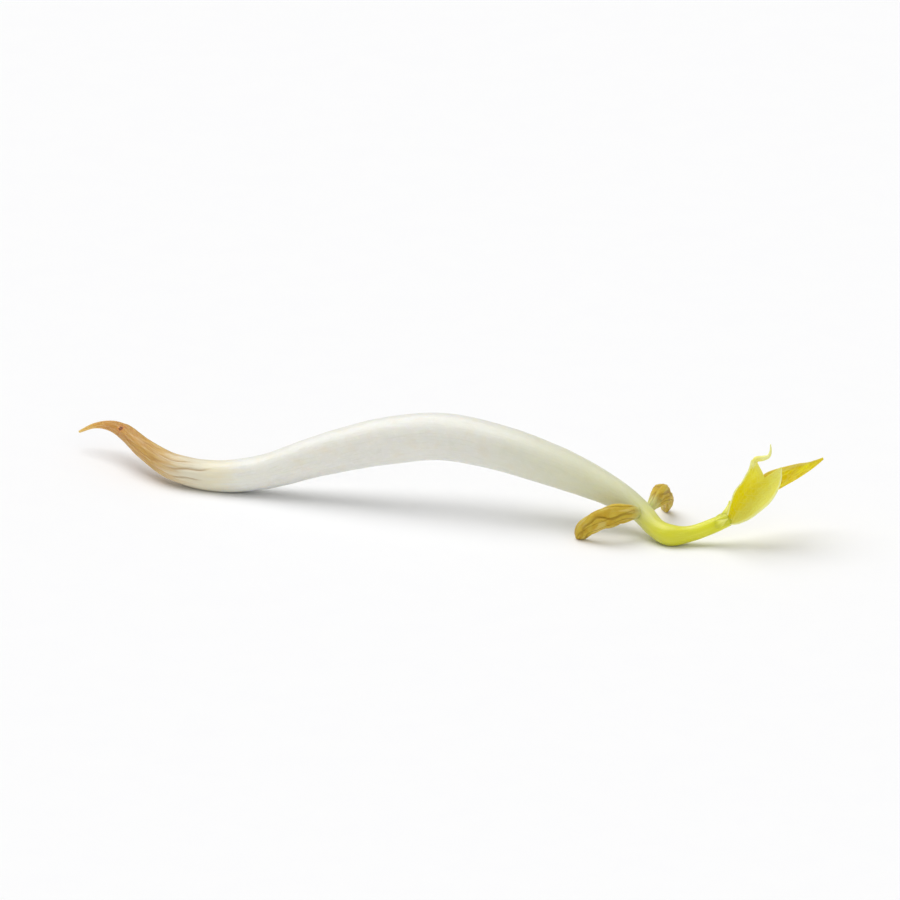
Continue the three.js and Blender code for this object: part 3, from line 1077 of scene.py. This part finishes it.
def seed_finish():
    """Dry golden olive skin with brown specks, painted shade in its creases and a painted
    highlight on its ridges.
    """
    finish = Finish("seed_half")
    straight = finish.place("straight")
    crease, pleat = finish.mark("crease"), finish.mark("pleat")
    along = finish.part_of(straight, "Z")
    clouds = finish.clouds(straight, 0.9, 4.0)
    grain = finish.clouds(straight, 6.0, 4.0, 0.65)
    wrinkles = finish.clouds(straight, SEED_WRINKLES)
    values = {"Vector": straight, "Scale": 2.2}
    specks = finish.node("ShaderNodeTexVoronoi", values=values, output="Distance")
    tint = finish.mix(finish.step(0.4, 0.7, clouds), "seed_olive", "seed_cloud")
    # Painted highlight on the raised pleats.
    tint = finish.mix(finish.step(0.55, 0.95, pleat) * 0.6, tint, "seed_ridge_highlight")
    # Painted shade in the creases and the groove.
    tint = finish.mix(finish.step(0.2, 0.9, crease) * 0.6, tint, "seed_grain_and_crease_shade")
    tint = finish.mix(finish.step(0.55, 0.8, grain) * 0.25, tint, "seed_grain_and_crease_shade")
    spots = finish.step(0.16, 0.08, specks) * finish.step(0.5, 0.6, clouds)
    tint = finish.mix(spots * 0.7, tint, "seed_speck")
    base = finish.step(1.9, 0.5, along + (grain - 0.5) * 1.2)
    tint = finish.mix(base * 0.8, tint, "node_green")
    normal = finish.bump(grain * 0.6 + wrinkles - crease * 0.5, 0.6, 0.09)
    roughness = 0.52 + (grain - 0.5) * 0.35
    body = finish.flesh(tint, roughness, normal, depth=0.3, spread=(0.8, 0.5, 0.12), shine=0.35)
    return finish.done(body)


# ---- operators --------------------------------------------------------------------------


class SPROUT_OT_root(bpy.types.Operator):
    """Grow the tan root with its furrows, its scar and the splits in its collar"""

    bl_idname = "sprout.root"
    bl_label = "Root"

    def execute(self, context):
        line = STALK.picked(slice(0, COLLAR + 1)).rounded(first=True, last=False)
        stalk_piece("root", line, "taproot", "root_skin")
        return {"FINISHED"}


class SPROUT_OT_stem(bpy.types.Operator):
    """Grow the thick white stem"""

    bl_idname = "sprout.stem"
    bl_label = "Stem"

    def execute(self, context):
        stalk_piece("stem", STALK.picked(slice(COLLAR, NODE + 1)), "hypocotyl", "white_stem")
        return {"FINISHED"}


class SPROUT_OT_neck(bpy.types.Operator):
    """Grow the green neck, its bud and the stipules beside it"""

    bl_idname = "sprout.neck"
    bl_label = "Neck and bud"

    def execute(self, context):
        line = STALK.picked(slice(NODE, None)).rounded()
        stalk_piece("neck", line, "epicotyl", "green_neck")
        tip = shoot_finish()
        bud = Line(BUD_LINE, TWIG_SPACING, FORWARD).rounded(bluntness=2)
        shoots = [("bud", Rings(bud, SHOOT_SIDES, bud_outline))]
        for name, rows in STIPULE_LINES.items():
            outward = (-0.3, rows[1][1] - rows[0][1], 0)  # away from the neck, a little back
            scale = Line(rows, TWIG_SPACING, outward).rounded(bluntness=2.5)
            shoots.append((name, Rings(scale, SHOOT_SIDES, stipule_outline)))
        for name, rings in shoots:
            settle(skin_piece(name, rings), "epicotyl", tip)
        return {"FINISHED"}


class SPROUT_OT_leaves(bpy.types.Operator):
    """Unfold the two first leaves with their veins, rims and tail"""

    bl_idname = "sprout.leaves"
    bl_label = "Leaves"

    def execute(self, context):
        leaf_piece(
            "leaf_front_blade",
            (FRONT_LEFT, FRONT_RIGHT),
            (rib(FRONT_FOLD), FRONT_TAIL, FRONT_PETIOLE),
            "leaf_front",
            leaf_finish("leaf_front_skin", lime=1.0, deep=0.2, rust=0.0),
        )
        leaf_piece(
            "leaf_back_blade",
            (BACK_NEAR, BACK_FAR),
            (rib(BACK_FOLD), BACK_PETIOLE),
            "leaf_back",
            leaf_finish("leaf_back_skin", lime=0.0, deep=0.95, rust=0.5),
        )
        return {"FINISHED"}


class SPROUT_OT_seed_halves(bpy.types.Operator):
    """Hang the two wrinkled seed halves on the node"""

    bl_idname = "sprout.seed_halves"
    bl_label = "Seed halves"

    def execute(self, context):
        skin = seed_finish()
        halves = (
            ("seed_half_near", NEAR_SEED_LINE, (0, -1, 0.4), "cotyledon_near", 7.3),
            ("seed_half_far", FAR_SEED_LINE, (1, 0, 0.5), "cotyledon_far", 52.9),
        )
        for name, rows, facing, node, seed in halves:
            line = Line(rows, SEED_SPACING, facing).rounded(first=True, bluntness=0.8)
            piece = skin_piece(name, Rings(line, SEED_SIDES, seed_outline(seed)))
            settle(piece, node, skin)
        return {"FINISHED"}


def table_finish():
    """Plain pale table top."""
    finish = Finish("table_top")
    spot = finish.node("ShaderNodeNewGeometry", output="Position")
    grain = finish.clouds(spot, TABLE_GRAIN, roughness=0.5)
    tint = finish.mix(grain, "table_white", "table_grain")
    values = {"Base Color": tint, "Roughness": 0.75, "Specular IOR Level": 0.2}
    return finish.done(finish.node("ShaderNodeBsdfPrincipled", values=values))


def softbox(name, towards, strength):
    """A very large softbox so far off that its light is as even as a broad sun's."""
    lamp = bpy.data.lights.new(name, "SUN")
    lamp.energy = strength
    lamp.angle = SOFTBOX_SPREAD
    holder = bpy.data.objects.new(name, lamp)
    holder.rotation_euler = (-Vector(towards)).to_track_quat("-Z", "Y").to_euler()
    bpy.context.scene.collection.objects.link(holder)


class SPROUT_OT_stage(bpy.types.Operator):
    """Lay the table, hang the softboxes and set up the camera"""

    bl_idname = "sprout.stage"
    bl_label = "Table, lights and camera"

    def execute(self, context):
        scene = context.scene
        studio = scene.sprout_studio
        low, high = (Vector(corner) for corner in CAD_BOX)
        middle = (low + high) / 2

        reach = TABLE_REACH
        corners = [(-reach, -reach, 0), (reach, -reach, 0), (reach, reach, 0), (-reach, reach, 0)]
        mesh = bpy.data.meshes.new("table_top")
        mesh.from_pydata(corners, [], [(0, 1, 2, 3)])
        mesh.materials.append(table_finish())
        table = bpy.data.objects.new("table_top", mesh)
        scene.collection.objects.link(table)

        world = bpy.data.worlds.new("studio")
        world.use_nodes = True
        sky = world.node_tree.nodes["Background"]
        sky.inputs["Color"].default_value = (1, 1, 1, 1)
        sky.inputs["Strength"].default_value = studio.sky
        scene.world = world
        softbox("softbox_top", TOP_SOFTBOX, studio.softbox)
        softbox("softbox_front", FRONT_SOFTBOX, studio.softbox * studio.fill)

        camera = bpy.data.cameras.new("camera")
        camera.lens = studio.focal
        camera.clip_start = CLIP_START
        holder = bpy.data.objects.new("camera", camera)
        away = Vector((0, -math.cos(studio.elevation), math.sin(studio.elevation)))
        holder.location = middle + away * studio.distance
        holder.rotation_euler = (-away).to_track_quat("-Z", "Y").to_euler()
        scene.collection.objects.link(holder)
        scene.camera = holder
        scene.view_settings.view_transform = "Standard"
        return {"FINISHED"}


class SPROUT_PT_panel(bpy.types.Panel):
    """The sprout's sizes and colours, and the steps that build it"""

    bl_idname = "SPROUT_PT_panel"
    bl_label = "Mung bean sprout"
    bl_space_type = "VIEW_3D"
    bl_region_type = "UI"
    bl_category = "Sprout"

    def draw(self, context):
        for group, values in GROUPS.items():
            box = self.layout.box()
            for name in values.__annotations__:
                box.prop(getattr(context.scene, group), name)
        for step in STEPS:
            self.layout.operator(step.bl_idname)


STEPS = (
    SPROUT_OT_root,
    SPROUT_OT_stem,
    SPROUT_OT_neck,
    SPROUT_OT_leaves,
    SPROUT_OT_seed_halves,
    SPROUT_OT_stage,
)
GROUPS = {
    "sprout_sizes": SproutSizes,
    "sprout_colours": SproutColours,
    "sprout_studio": StudioSettings,
}
CLASSES = (*GROUPS.values(), *STEPS, SPROUT_PT_panel)


def register():
    for part in CLASSES:
        bpy.utils.register_class(part)
    for name, group in GROUPS.items():
        setattr(bpy.types.Scene, name, bpy.props.PointerProperty(type=group))


def unregister():
    for name in GROUPS:
        delattr(bpy.types.Scene, name)
    for part in reversed(CLASSES):
        bpy.utils.unregister_class(part)


def main():
    register()
    for step in STEPS:
        group, name = step.bl_idname.split(".")
        getattr(getattr(bpy.ops, group), name)()


if __name__ == "__main__":
    main()
